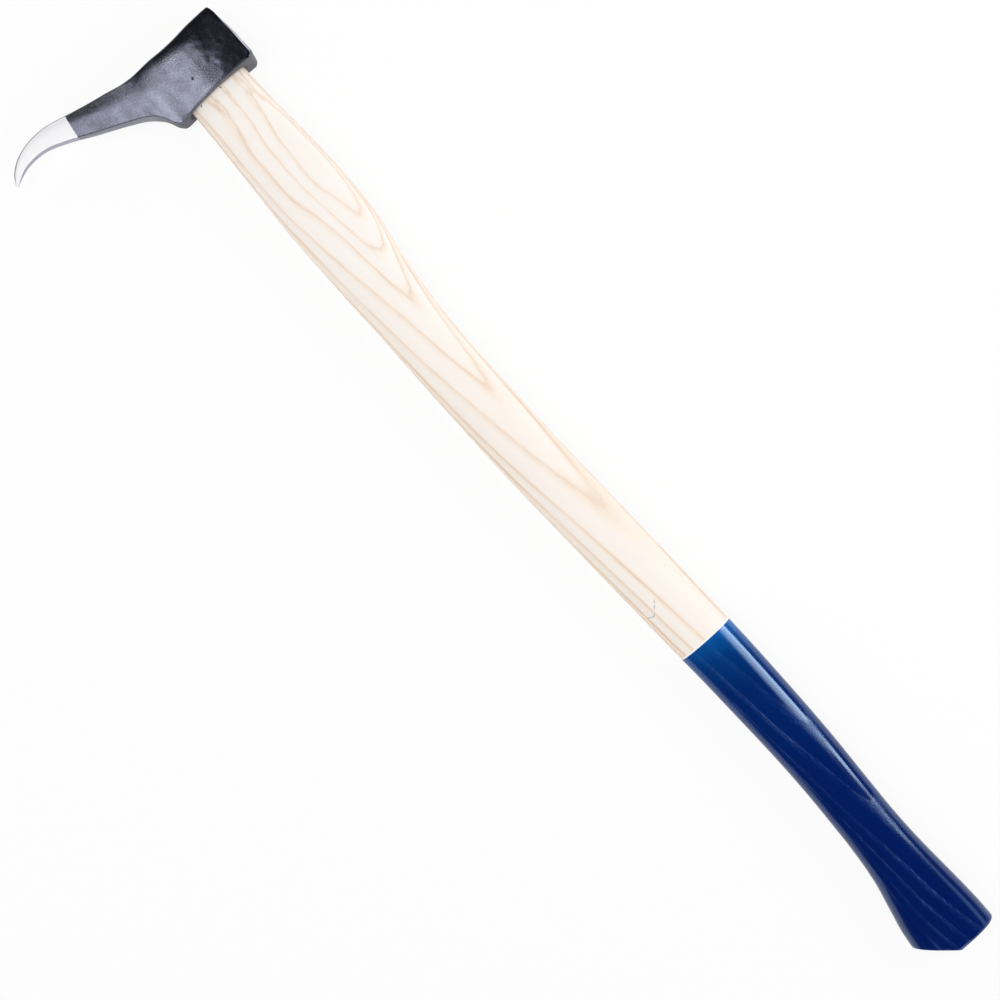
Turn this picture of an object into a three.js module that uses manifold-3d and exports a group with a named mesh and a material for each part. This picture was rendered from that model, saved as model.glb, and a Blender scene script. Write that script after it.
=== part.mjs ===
// A pickaroon: a forged steel timber pick wedged onto an ash handle with a lacquered grip.
// It lies on its side. +X runs from the head to the butt of the handle, +Y from the pick to
// the poll and +Z up through the cheeks. All lengths are in millimetres. The pieces are drawn
// with X = 0 at the underside of the head and Y = 0, Z = 0 on the axis of the eye, and the
// finished group is then set down with its origin at the bottom centre of its bounding box.
import * as THREE from "three";
import { mergeVertices, toCreasedNormals } from "three/addons/utils/BufferGeometryUtils.js";
import Module from "manifold-3d";

const wasm = await Module();
wasm.setup();

// Fits and cutting
const FIT_GAP = 0.3; // clearance left between two pieces that seat on each other
const CUT_OVERRUN = 5; // how far a cutter runs past what it cuts

// Head: the eye block
const EYE_HEIGHT = 42.2; // underside to top face, on the axis of the eye
const EYE_DEPTH = 47.1; // pick side to poll side of the hole, at the underside
const EYE_WIDTH = 19; // cheek to cheek of the hole, at the underside
const EYE_FLARE_DEPTH = 3; // how much longer the hole is at the top face
const EYE_FLARE_WIDTH = 2; // how much wider the hole is at the top face
const CHEEK_WALL = 5.5;
const POLL_WALL = 10.2;
const BEARD_WALL = 12.3; // steel between the hole and the corner under the pick
const BEARD_DROP = 2.5; // how far the underside drops from the axis to that corner
const CHEEK_FLAT = 5; // how far past the axis the cheeks stay flat before they draw in
const POLL_FLARE = 1.3; // how far the top face rises to the poll
const POLL_CROWN = 14; // how far down from the top face the poll is crowned
const POLL_HEEL_RADIUS = 4; // where the poll meets the underside, and the crown's depth
const POLL_EDGE_RADIUS = 3; // where the poll meets the cheeks
const FACE_EDGE_EASING = 1.5; // where the cheeks meet the top face and the underside

// Head: the pick
const PICK_LENGTH = 108.8; // beard to tip
const PICK_RISE = 15.6; // how far the back of the pick stands above the top face
const BACK_EASING = 1.1; // easing of the edges along the back
const RIDGE_EASING = 3; // easing of the low ridge along each cheek
const BELLY_EASING = 0.7; // easing of the edges along the belly

// Handle
const HANDLE_LENGTH = 800; // top of the tenon to the butt
const TENON_PROUD = 1.3; // how far the tenon stands above the top face
const SWELL_DEPTH = 55.8;
const SHAFT_DEPTH = 42.8;
const WAIST_DEPTH = 38.1;
const KNOB_DEPTH = 55.2;
const SWELL_WIDTH = 25.5;
const SHAFT_WIDTH = 27;
const WAIST_WIDTH = 26;
const KNOB_WIDTH = 30;
const SWEEP = 9.9; // how far the grip stands off the axis of the eye, on the poll's side
const BUTT_EDGE_RADIUS = 2.2;
const FOOT_CUT_ANGLE = 38.8; // degrees between the slanted cut and the flat butt

// Wedges
const KERF_DEPTH = 33; // sawn into the top of the tenon
const WEDGE_LENGTH = 31;
const WEDGE_TOP_THICKNESS = 5;
const WEDGE_TIP_THICKNESS = 1.4;
const RING_DIAMETER = 12.5;
const RING_TAPER = 0.8; // how much smaller the ring is across at its leading edge
const RING_WALL = 1.6;
const RING_LENGTH = 15;
const RING_EDGE_BEVEL = 3; // length of the sharpened leading edge

// Grip lacquer
const GRIP_LENGTH = 265; // dip line to butt
const LACQUER_FILM = 0.4;

// Fineness
const RING_SIDES = 36; // points round the handle and the eye
const CORNER_STEPS = 3; // facets in each eased corner of the head's section
const HEAD_STEPS = 4; // sections between two stations of the head
const END_STEPS = 4; // sections in a rounded end
const HANDLE_STEP = 13; // spacing of the handle's sections
const WEDGE_RING_SIDES = 32;
const CREASE_ANGLE = Math.PI / 5;

// Sizes that follow from the ones above
const HEAD_THICKNESS = EYE_WIDTH + 2 * CHEEK_WALL;
const POLL_Y = EYE_DEPTH / 2 + POLL_WALL;
const BEARD_Y = -(EYE_DEPTH / 2 + BEARD_WALL);
const TENON_TOP = -(EYE_HEIGHT + TENON_PROUD);
const BUTT_X = TENON_TOP + HANDLE_LENGTH;
const DIP_X = BUTT_X - GRIP_LENGTH;
const ALL_AROUND = 2 * HANDLE_LENGTH; // longer than anything a cutter has to clear

const STEEL_BLACK = { color: 0x1b1e24, roughness: 0.5, metalness: 0.3 };
const STEEL_BARE = { color: 0xb9bcc0, roughness: 0.3, metalness: 1 };
const ASH = { color: 0xead9c0, roughness: 0.65, metalness: 0 };
const BEECH = { color: 0xc49a6c, roughness: 0.75, metalness: 0 };
const BLUE_LACQUER = { color: 0x03265c, roughness: 0.3, metalness: 0 };

// A curve through [place, value] stations that never overshoots them, so level stretches stay level.
function levelCurve(stations) {
  const slopes = stations.map((station, i) => {
    if (i === 0 || i === stations.length - 1) return 0;
    const [before, after] = [stations[i - 1], stations[i + 1]];
    const rise = (station[1] - before[1]) / (station[0] - before[0]);
    const fall = (after[1] - station[1]) / (after[0] - station[0]);
    return rise * fall > 0 ? (2 * rise * fall) / (rise + fall) : 0;
  });
  return (place) => {
    const last = stations.length - 2;
    const found = stations.findIndex((station, i) => i > 0 && place < station[0]) - 1;
    const i = found < 0 ? (place < stations[0][0] ? 0 : last) : found;
    const span = stations[i + 1][0] - stations[i][0];
    const t = THREE.MathUtils.clamp((place - stations[i][0]) / span, 0, 1);
    const [t2, t3] = [t * t, t * t * t];
    return (
      (2 * t3 - 3 * t2 + 1) * stations[i][1] +
      (t3 - 2 * t2 + t) * span * slopes[i] +
      (3 * t2 - 2 * t3) * stations[i + 1][1] +
      (t3 - t2) * span * slopes[i + 1]
    );
  };
}

// A level curve with a value at each place.
function curveThrough(places, values) {
  return levelCurve(places.map((place, i) => [place, values[i]]));
}

// How far a rounded end has drawn in at this distance from the end. The rounding is a quarter
// circle, or a quarter ellipse where the draw is another size.
function drawnIn(radius, fromEnd, draw = radius) {
  const run = Math.max(1 - fromEnd / radius, 0);
  return draw * (1 - Math.sqrt(1 - run * run));
}

// A closed skin with flat ends over rings of points. The rings turn anticlockwise as seen from
// the last ring's side.
function loft(rings) {
  const sides = rings[0].length;
  const points = rings.flat();
  const faces = [];
  rings.slice(1).forEach((ring, i) => {
    for (let j = 0; j < sides; j++) {
      const next = (j + 1) % sides;
      const [a, b] = [i * sides + j, i * sides + next];
      const [c, d] = [a + sides, b + sides];
      faces.push(a, b, d, a, d, c);
    }
  });
  [0, rings.length - 1].forEach((end) => {
    const centre = rings[end].reduce((sum, p) => sum.add(p), new THREE.Vector3());
    const hub = points.push(centre.divideScalar(sides)) - 1;
    for (let j = 0; j < sides; j++) {
      const [a, b] = [end * sides + j, end * sides + ((j + 1) % sides)];
      faces.push(hub, ...(end ? [a, b] : [b, a]));
    }
  });
  const geometry = new THREE.BufferGeometry().setFromPoints(points);
  return geometry.setIndex(faces);
}

// A three.js geometry as a solid that can be cut and joined.
function solidOf(geometry) {
  const bare = geometry.clone();
  bare.deleteAttribute("normal");
  bare.deleteAttribute("uv");
  const merged = mergeVertices(bare);
  return new wasm.Manifold(
    new wasm.Mesh({
      numProp: 3,
      vertProperties: new Float32Array(merged.attributes.position.array),
      triVerts: new Uint32Array(merged.index.array),
    }),
  );
}

// A named mesh of a finished solid.
function piece(name, solid, finish) {
  const mesh = solid.getMesh();
  const geometry = new THREE.BufferGeometry()
    .setAttribute("position", new THREE.BufferAttribute(mesh.vertProperties, 3))
    .setIndex(new THREE.BufferAttribute(mesh.triVerts, 1));
  const shaded = toCreasedNormals(geometry, CREASE_ANGLE);
  const made = new THREE.Mesh(shaded, new THREE.MeshStandardMaterial(finish));
  made.name = name;
  return made;
}

// Everything on one side of a plane across the X axis at (x, y), turned about Z: the side that
// the plane faces, which is +X when it isn't turned.
function beyondPlane(x, y, turn) {
  const box = new THREE.BoxGeometry(ALL_AROUND, ALL_AROUND, ALL_AROUND);
  box.translate(ALL_AROUND / 2, 0, 0);
  box.rotateZ(turn);
  box.translate(x, y, 0);
  return solidOf(box);
}

// One rounded section across X, egg-shaped. squareness is 2 for an ellipse and more for a
// squarer shape, and eggShare is how much fuller the section is at its poll end.
function sectionAcrossX({ x, y, depth, width, squareness, eggShare }) {
  return Array.from({ length: RING_SIDES }, (unused, i) => {
    const angle = (2 * Math.PI * i) / RING_SIDES;
    const [along, across] = [Math.cos(angle), Math.sin(angle)].map(
      (v) => Math.sign(v) * Math.abs(v) ** (2 / squareness),
    );
    const z = (width / 2) * across * (1 + eggShare * along);
    return new THREE.Vector3(x, y + (depth / 2) * along, z);
  });
}

const EYE_SQUARENESS = 3.1;
const EYE_EGG_SHARE = 0.08;

// The section of the eye at x, drawn in by a gap all round.
function eyeSection(x, gap) {
  const flare = -x / EYE_HEIGHT;
  return sectionAcrossX({
    x,
    y: 0,
    depth: EYE_DEPTH + flare * EYE_FLARE_DEPTH - 2 * gap,
    width: EYE_WIDTH + flare * EYE_FLARE_WIDTH - 2 * gap,
    squareness: EYE_SQUARENESS,
    eggShare: EYE_EGG_SHARE,
  });
}

// The pick at its stations, from the beard out to the tip. In back, the first number is how far
// along the pick the back edge is, and the second how far it has risen, as shares of the pick's
// length and rise. In belly, the second is how far the belly edge has left the underside, as a
// share of the eye's height. The widths are those of the back edge, the ridge and the belly
// edge, as shares of the head's thickness.
const PICK_SHARES = [
  { back: [0, 0.015], belly: [-0.03, 0], widths: [0.72, 0.73, 0.72] },
  { back: [0.03, 0.045], belly: [0.004, 0.07], widths: [0.66, 0.69, 0.66] },
  { back: [0.1, 0.1], belly: [0.045, 0.275], widths: [0.52, 0.59, 0.52] },
  { back: [0.2, 0.265], belly: [0.11, 0.45], widths: [0.37, 0.49, 0.4] },
  { back: [0.33, 0.48], belly: [0.215, 0.615], widths: [0.27, 0.43, 0.3] },
  { back: [0.476, 0.72], belly: [0.417, 0.845], widths: [0.22, 0.38, 0.27] },
  { back: [0.62, 0.965], belly: [0.58, 1.02], widths: [0.18, 0.34, 0.27] },
  { back: [0.762, 0.96], belly: [0.73, 1.145], widths: [0.15, 0.29, 0.25] },
  { back: [0.884, 0.71], belly: [0.865, 1.135], widths: [0.11, 0.22, 0.2] },
  { back: [0.96, 0.333], belly: [0.9485, 1.055], widths: [0.07, 0.13, 0.12] },
  { back: [1, -0.1], belly: [0.994, 0.99], widths: [0.03, 0.04, 0.04] },
];
const RIDGE_SHARE = 0.32; // where the ridge runs, from the back edge to the belly edge
const EASING_SHARE = 0.42; // an easing never takes more of a side than this
const CHEEK_DRAW_SHARE = 0.86; // thickness left at the pick end of the hole
const FULL_WIDTHS_SHARE = [1, 1, 1];
const DRAWN_WIDTHS_SHARE = [CHEEK_DRAW_SHARE, CHEEK_DRAW_SHARE, CHEEK_DRAW_SHARE];

function underside(y) {
  return BEARD_DROP * Math.max(y / BEARD_Y, 0);
}

// A station across the eye block at y, square to the handle.
function blockStation(y, widthsShare) {
  const flare = POLL_FLARE * Math.max(y / POLL_Y, 0) ** 3;
  return {
    back: new THREE.Vector3(-EYE_HEIGHT - flare, y, 0),
    belly: new THREE.Vector3(underside(y), y, 0),
    widths: widthsShare.map((share) => share * HEAD_THICKNESS),
    easings: [FACE_EDGE_EASING, RIDGE_EASING, FACE_EDGE_EASING],
  };
}

function pickStation({ back, belly, widths }) {
  const [backY, bellyY] = [back[0], belly[0]].map((along) => BEARD_Y - along * PICK_LENGTH);
  return {
    back: new THREE.Vector3(-EYE_HEIGHT - back[1] * PICK_RISE, backY, 0),
    belly: new THREE.Vector3(BEARD_DROP - belly[1] * EYE_HEIGHT, bellyY, 0),
    widths: widths.map((share) => share * HEAD_THICKNESS),
    easings: [BACK_EASING, RIDGE_EASING, BELLY_EASING],
  };
}

// The points that ease a corner of a section between its two neighbours.
function easedCorner(corner, before, after, easing) {
  const [from, to] = [before, after].map((other) => {
    const share = Math.min(easing / corner.distanceTo(other), EASING_SHARE);
    return corner.clone().lerp(other, share);
  });
  return new THREE.QuadraticBezierCurve(from, corner, to).getPoints(CORNER_STEPS);
}

// A closed six-cornered section of the head between its back and belly edges.
function headSection({ back, belly, widths, easings }) {
  const depth = back.distanceTo(belly);
  const across = belly.clone().sub(back).normalize();
  const places = [0, RIDGE_SHARE * depth, depth];
  const corners = [2, 1, 0].map((k) => new THREE.Vector2(places[k], widths[k] / 2));
  const mirrored = corners.map((corner) => new THREE.Vector2(corner.x, -corner.y)).reverse();
  const outline = [...corners, ...mirrored];
  const eased = [easings[2], easings[1], easings[0], ...easings];
  return outline.flatMap((corner, i) => {
    const before = outline[(i + outline.length - 1) % outline.length];
    const after = outline[(i + 1) % outline.length];
    return easedCorner(corner, before, after, eased[i]).map(
      ({ x, y }) => new THREE.Vector3(back.x + across.x * x, back.y + across.y * x, y),
    );
  });
}

// The rounded end of the poll, from its face to where the full section starts.
function pollSections() {
  const steps = 2 * END_STEPS;
  return Array.from({ length: steps }, (unused, i) => {
    const fromEnd = POLL_HEEL_RADIUS * (1 - Math.cos((i / steps) * (Math.PI / 2)));
    const station = blockStation(POLL_Y - fromEnd, FULL_WIDTHS_SHARE);
    station.back.x += drawnIn(POLL_HEEL_RADIUS, fromEnd, POLL_CROWN);
    station.belly.x -= drawnIn(POLL_HEEL_RADIUS, fromEnd);
    station.widths = station.widths.map((width) => width - 2 * drawnIn(POLL_EDGE_RADIUS, fromEnd));
    return headSection(station);
  });
}

// The sections from the poll to the tip, on smooth curves through the stations.
function bodySections() {
  const stations = [
    blockStation(POLL_Y - POLL_HEEL_RADIUS, FULL_WIDTHS_SHARE),
    blockStation(EYE_DEPTH / 2 - POLL_WALL, FULL_WIDTHS_SHARE),
    blockStation(0, FULL_WIDTHS_SHARE),
    blockStation(-CHEEK_FLAT, FULL_WIDTHS_SHARE),
    blockStation(-EYE_DEPTH / 2, DRAWN_WIDTHS_SHARE),
    ...PICK_SHARES.map(pickStation),
  ];
  const last = stations.length - 1;
  const [backCurve, bellyCurve] = ["back", "belly"].map(
    (edge) => new THREE.CatmullRomCurve3(stations.map((station) => station[edge])),
  );
  const [widthCurves, easingCurves] = ["widths", "easings"].map((kind) =>
    [0, 1, 2].map((k) => levelCurve(stations.map((station, i) => [i, station[kind][k]]))),
  );
  return Array.from({ length: last * HEAD_STEPS + 1 }, (unused, i) => {
    const place = i / HEAD_STEPS;
    return headSection({
      back: backCurve.getPoint(place / last),
      belly: bellyCurve.getPoint(place / last),
      widths: widthCurves.map((curve) => curve(place)),
      easings: easingCurves.map((curve) => curve(place)),
    });
  });
}

function head() {
  const blank = solidOf(loft([...pollSections(), ...bodySections()]));
  const hole = loft([eyeSection(TENON_TOP - CUT_OVERRUN, 0), eyeSection(CUT_OVERRUN, 0)]);
  return blank.subtract(solidOf(hole));
}

// The handle below the head: where its stations are, as shares of its length, and its sizes there.
const DEPTH_PLACE_SHARES = [0, 0.136, 0.31, 0.64, 0.835, 0.87, 0.985, 1];
const depthAt = curveThrough(DEPTH_PLACE_SHARES, [
  EYE_DEPTH - 2 * FIT_GAP,
  SWELL_DEPTH,
  SHAFT_DEPTH,
  SHAFT_DEPTH,
  WAIST_DEPTH,
  WAIST_DEPTH,
  KNOB_DEPTH,
  KNOB_DEPTH,
]);
const WIDTH_PLACE_SHARES = [0, 0.136, 0.31, 0.64, 0.84, 0.97, 1];
const widthAt = curveThrough(WIDTH_PLACE_SHARES, [
  EYE_WIDTH - 2 * FIT_GAP,
  SWELL_WIDTH,
  SHAFT_WIDTH,
  SHAFT_WIDTH,
  WAIST_WIDTH,
  KNOB_WIDTH,
  KNOB_WIDTH,
]);
const SWEEP_SHARES = [
  [0, 0],
  [0.1, 0.06],
  [0.155, 0.02],
  [0.22, -0.27],
  [0.29, -0.385],
  [0.41, -0.22],
  [0.51, 0.146],
  [0.617, 0.58],
  [0.69, 0.84],
  [0.785, 1],
  [0.866, 0.85],
  [0.936, 0.57],
  [0.98, 0.42],
  [1, 0.42],
];
const sweepShareAt = levelCurve(SWEEP_SHARES);
const SQUARENESS_SHARES = [
  [0, EYE_SQUARENESS],
  [0.15, 2.7],
  [0.65, 2.4],
  [1, 2.6],
];
const squarenessAt = levelCurve(SQUARENESS_SHARES);
const HEEL_SHARE = 0.05; // how far off the knob's middle the slanted cut starts, in its depth

// A section of the handle below the head, drawn in by an inset all round.
function handleSection(x, inset) {
  const place = x / BUTT_X;
  const drawn = inset + drawnIn(BUTT_EDGE_RADIUS, BUTT_X - inset - x);
  return sectionAcrossX({
    x,
    y: SWEEP * sweepShareAt(place),
    depth: depthAt(place) - 2 * drawn,
    width: widthAt(place) - 2 * drawn,
    squareness: squarenessAt(place),
    eggShare: EYE_EGG_SHARE * (1 - place),
  });
}

// The handle's form from start to its butt, drawn in by an inset, with the slanted foot cut.
function handleForm(start, inset) {
  const end = BUTT_X - inset;
  const roundStart = end - BUTT_EDGE_RADIUS;
  const steps = Math.ceil((roundStart - start) / HANDLE_STEP);
  const places = Array.from({ length: steps + 1 }, (unused, i) =>
    THREE.MathUtils.lerp(start, roundStart, i / steps),
  );
  for (let i = 1; i <= END_STEPS; i++) {
    places.push(roundStart + BUTT_EDGE_RADIUS * Math.sin(((i / END_STEPS) * Math.PI) / 2));
  }
  const form = solidOf(loft(places.map((x) => handleSection(x, inset))));
  const heelY = SWEEP * sweepShareAt(1) - KNOB_DEPTH * HEEL_SHARE;
  const turn = -THREE.MathUtils.degToRad(FOOT_CUT_ANGLE);
  return form.subtract(beyondPlane(BUTT_X - inset / Math.cos(turn), heelY, turn));
}

// The tenon as it fills the eye, run on a little way into the handle.
function tenonForm(gap) {
  return solidOf(loft([eyeSection(TENON_TOP, gap), eyeSection(CUT_OVERRUN, gap)]));
}

// The wedge's own shape and, with a gap, the kerf that it spreads.
function wedgeForm(length, gap) {
  const top = WEDGE_TOP_THICKNESS / 2 + gap;
  const tip = WEDGE_TIP_THICKNESS / 2 + gap;
  const slope = (top - tip) / WEDGE_LENGTH;
  const profile = new THREE.Shape([
    new THREE.Vector2(-CUT_OVERRUN, -top - slope * CUT_OVERRUN),
    new THREE.Vector2(length, -tip),
    new THREE.Vector2(length, tip),
    new THREE.Vector2(-CUT_OVERRUN, top + slope * CUT_OVERRUN),
  ]);
  const bar = new THREE.ExtrudeGeometry(profile, { depth: 2 * EYE_DEPTH, bevelEnabled: false });
  bar.translate(0, 0, -EYE_DEPTH);
  bar.rotateX(-Math.PI / 2);
  bar.translate(TENON_TOP, 0, 0);
  return solidOf(bar);
}

// The steel ring's profile turned about the eye's axis and, with a gap, the groove it cuts.
function ringForm(gap, overrun) {
  const outer = RING_DIAMETER / 2;
  const inner = outer - RING_WALL;
  const points = [
    [inner - gap, overrun],
    [inner - gap, -RING_LENGTH - gap],
    [outer - RING_TAPER / 2 - RING_WALL / 2 + gap, -RING_LENGTH - gap],
    [outer - RING_TAPER / 2 + gap, RING_EDGE_BEVEL - RING_LENGTH],
    [outer + gap, overrun],
    [inner - gap, overrun],
  ].map(([r, h]) => new THREE.Vector2(r, h));
  const ring = new THREE.LatheGeometry(points, WEDGE_RING_SIDES);
  ring.rotateZ(Math.PI / 2);
  ring.translate(TENON_TOP, 0, 0);
  return solidOf(ring);
}

function handle() {
  const bare = handleForm(0, 0).subtract(beyondPlane(DIP_X, 0, 0));
  const core = handleForm(DIP_X - CUT_OVERRUN, LACQUER_FILM + FIT_GAP);
  return tenonForm(FIT_GAP)
    .add(bare)
    .add(core)
    .subtract(wedgeForm(KERF_DEPTH, FIT_GAP))
    .subtract(ringForm(FIT_GAP, CUT_OVERRUN));
}

function woodWedge() {
  return wedgeForm(WEDGE_LENGTH, 0)
    .intersect(tenonForm(2 * FIT_GAP))
    .subtract(ringForm(FIT_GAP, CUT_OVERRUN));
}

function gripLacquer() {
  const skin = handleForm(DIP_X + FIT_GAP, 0);
  return skin.subtract(handleForm(DIP_X - CUT_OVERRUN, LACQUER_FILM));
}

const pickaroon = new THREE.Group();
pickaroon.add(
  piece("head", head(), STEEL_BLACK),
  piece("handle", handle(), ASH),
  piece("wood_wedge", woodWedge(), BEECH),
  piece("ring_wedge", ringForm(0, 0), STEEL_BARE),
  piece("grip_lacquer", gripLacquer(), BLUE_LACQUER),
);

// Set down on its side with the origin at the bottom centre.
const bounds = new THREE.Box3().setFromObject(pickaroon);
const centre = bounds.getCenter(new THREE.Vector3());
pickaroon.position.set(-centre.x, -centre.y, -bounds.min.z);

export default pickaroon;
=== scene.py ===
# A pickaroon lying on its side on a pale floor, seen from straight above.
# Lengths are in millimetres in the drawing frame, whose X = 0 is the underside of the head and
# whose Y = 0, Z = 0 is the axis of the eye. Meshes are made in metres in the CAD frame.
import math

import bmesh
import bpy
from mathutils import Matrix, Vector, noise


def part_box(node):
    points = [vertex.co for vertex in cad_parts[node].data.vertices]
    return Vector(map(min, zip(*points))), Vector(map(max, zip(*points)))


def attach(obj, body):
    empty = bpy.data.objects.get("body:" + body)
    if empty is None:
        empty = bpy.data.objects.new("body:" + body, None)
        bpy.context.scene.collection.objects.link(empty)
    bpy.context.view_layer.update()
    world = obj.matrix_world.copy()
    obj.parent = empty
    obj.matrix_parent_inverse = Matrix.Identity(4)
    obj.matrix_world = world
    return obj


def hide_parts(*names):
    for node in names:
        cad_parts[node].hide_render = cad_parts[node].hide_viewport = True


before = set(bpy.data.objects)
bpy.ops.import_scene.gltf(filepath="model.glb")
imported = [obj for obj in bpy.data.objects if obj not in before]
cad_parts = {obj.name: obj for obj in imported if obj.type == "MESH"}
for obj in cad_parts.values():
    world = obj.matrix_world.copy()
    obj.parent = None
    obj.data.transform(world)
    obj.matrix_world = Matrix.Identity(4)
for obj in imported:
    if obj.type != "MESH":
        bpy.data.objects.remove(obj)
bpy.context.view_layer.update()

MM = 0.001

# Sizes of the forms
FIT_GAP = 0.3
EYE_HEIGHT, EYE_DEPTH, EYE_WIDTH = 42.2, 47.1, 19
EYE_FLARE_DEPTH, EYE_FLARE_WIDTH = 3, 2
CHEEK_WALL, POLL_WALL, BEARD_WALL = 5.5, 10.2, 12.3
BEARD_DROP, CHEEK_FLAT = 2.5, 5
POLL_CROWN, POLL_HEEL_RADIUS, POLL_EDGE_RADIUS = 14, 4, 3
FACE_EDGE_EASING, BACK_EASING, RIDGE_EASING, BELLY_EASING = 1.5, 1.1, 5.5, 0.7
PICK_LENGTH, PICK_RISE = 108.8, 15.6
HANDLE_LENGTH, TENON_PROUD = 800, 1.3
SHAFT_DEPTH, KNOB_DEPTH = 42.8, 55.2
SWELL_WIDTH, SHAFT_WIDTH, WAIST_WIDTH, KNOB_WIDTH = 25.5, 27, 26, 30
SWEEP, BUTT_EDGE_RADIUS, FOOT_CUT_ANGLE = 9.9, 2.2, 38.8
KERF_DEPTH, WEDGE_LENGTH, WEDGE_TOP_THICKNESS, WEDGE_TIP_THICKNESS = 33, 31, 5, 1.4
RING_DIAMETER, RING_TAPER, RING_WALL, RING_LENGTH, RING_EDGE = 12.5, 0.8, 1.6, 15, 3
GRIP_LENGTH = 265
OVERRUN = 5  # how far a cutter reaches beyond the face that it cuts
HEAD_THICKNESS = EYE_WIDTH + 2 * CHEEK_WALL
POLL_Y = EYE_DEPTH / 2 + POLL_WALL
BEARD_Y = -(EYE_DEPTH / 2 + BEARD_WALL)
TENON_TOP = -(EYE_HEIGHT + TENON_PROUD)
BUTT_X = TENON_TOP + HANDLE_LENGTH
BUTT_OUT, DIP_OUT = 0.6, 0.7  # how far the butt's face and the dip's edge stand further out
BUTT_END = BUTT_X + BUTT_OUT
DIP_X = BUTT_X - GRIP_LENGTH - DIP_OUT

# The ring wedge is turned about the eye's axis, so its box gives the drawing frame's place.
ring_low, ring_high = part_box("ring_wedge")
ring_middle = (ring_low + ring_high) / 2
ORIGIN = Vector((ring_low.x - TENON_TOP * MM, ring_middle.y, ring_middle.z))


def kept(value, least=0.0):
    """A value kept between a least value and 1."""
    return min(max(value, least), 1)


def eased(share):
    """A share from 0 to 1 that starts and ends gently."""
    return share * share * (3 - 2 * share)


def level_curve(stations):
    """A curve through (place, value) stations that never overshoots them."""
    slopes = [0.0] * len(stations)
    for i in range(1, len(stations) - 1):
        before, here, after = stations[i - 1 : i + 2]
        rise = (here[1] - before[1]) / (here[0] - before[0])
        fall = (after[1] - here[1]) / (after[0] - here[0])
        if rise * fall > 0:
            slopes[i] = 2 * rise * fall / (rise + fall)

    def value(place):
        i = 0
        while i < len(stations) - 2 and place >= stations[i + 1][0]:
            i += 1
        (x0, y0), (x1, y1) = stations[i : i + 2]
        span = x1 - x0
        t = kept((place - x0) / span)
        t2, t3 = t * t, t * t * t
        return (
            (2 * t3 - 3 * t2 + 1) * y0
            + (t3 - 2 * t2 + t) * span * slopes[i]
            + (3 * t2 - 2 * t3) * y1
            + (t3 - t2) * span * slopes[i + 1]
        )

    return value


def centripetal(points, place):
    """The point at a place, counted in stations, on a centripetal curve through the points."""
    i = min(int(place), len(points) - 2)
    t = place - i
    p1, p2 = points[i], points[i + 1]
    p0 = points[i - 1] if i else 2 * p1 - p2
    p3 = points[i + 2] if i + 2 < len(points) else 2 * p2 - p1
    d0, d1, d2 = ((b - a).length ** 0.5 for a, b in ((p0, p1), (p1, p2), (p2, p3)))
    m1 = ((p1 - p0) / d0 - (p2 - p0) / (d0 + d1) + (p2 - p1) / d1) * d1
    m2 = ((p2 - p1) / d1 - (p3 - p1) / (d1 + d2) + (p3 - p2) / d2) * d1
    bend = 3 * (p2 - p1) - 2 * m1 - m2
    twist = 2 * (p1 - p2) + m1 + m2
    return p1 + m1 * t + bend * t * t + twist * t * t * t


def knots(points):
    """How far along a centripetal curve each of its points is."""
    places = [0.0]
    for a, b in zip(points, points[1:]):
        places.append(places[-1] + (b - a).length ** 0.5)
    return places


def between(values, place):
    """The value at a place counted in stations."""
    i = min(int(place), len(values) - 2)
    return values[i] + (place - i) * (values[i + 1] - values[i])


def drawn_in(radius, from_end, draw=None):
    """How far a rounded end has drawn in at this distance from the end."""
    run = max(1 - from_end / radius, 0)
    return (draw or radius) * (1 - math.sqrt(1 - run * run))


# Making pieces
def loft(rings, capped=True):
    """A skin over rings of points, closed at its ends with a fan of faces when it is capped."""
    made = bmesh.new()
    rows = [[made.verts.new(point) for point in ring] for ring in rings]
    sides = len(rings[0])
    for row, following in zip(rows, rows[1:]):
        for j in range(sides):
            k = (j + 1) % sides
            made.faces.new((row[j], row[k], following[k], following[j]))
    if capped:
        for row in (rows[0], rows[-1]):
            hub = made.verts.new(sum((v.co for v in row), Vector()) / sides)
            for j in range(sides):
                made.faces.new((row[j], row[(j + 1) % sides], hub))
    bmesh.ops.recalc_face_normals(made, faces=made.faces)
    return made


def as_object(made, name):
    """An object of a bmesh in the drawing frame, with its place in its mesh."""
    mesh = bpy.data.meshes.new(name)
    made.to_mesh(mesh)
    made.free()
    mesh.transform(Matrix.Translation(ORIGIN) @ Matrix.Scale(MM, 4))
    obj = bpy.data.objects.new(name, mesh)
    bpy.context.scene.collection.objects.link(obj)
    return obj


def settle(obj):
    """Applies an object's modifiers."""
    graph = bpy.context.evaluated_depsgraph_get()
    mesh = bpy.data.meshes.new_from_object(obj.evaluated_get(graph))
    obj.modifiers.clear()
    obj.data = mesh
    return obj


def cut(obj, *cutters, operation="DIFFERENCE"):
    """Takes the cutters out of an object, or keeps what is inside them, and removes them."""
    for cutter in cutters:
        step = obj.modifiers.new("cut", "BOOLEAN")
        step.operation, step.solver, step.object = operation, "EXACT", cutter
        settle(obj)
        bpy.data.objects.remove(cutter)
    return obj


def dress(obj, material, replaced, sharp_degrees=38):
    """Gives a piece its material, smooth shading and place in the frame."""
    obj.data.materials.clear()
    obj.data.materials.append(material)
    obj.data.shade_smooth()
    obj.data.set_sharp_from_angle(angle=math.radians(sharp_degrees))
    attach(obj, "root")
    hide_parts(replaced)


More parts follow.
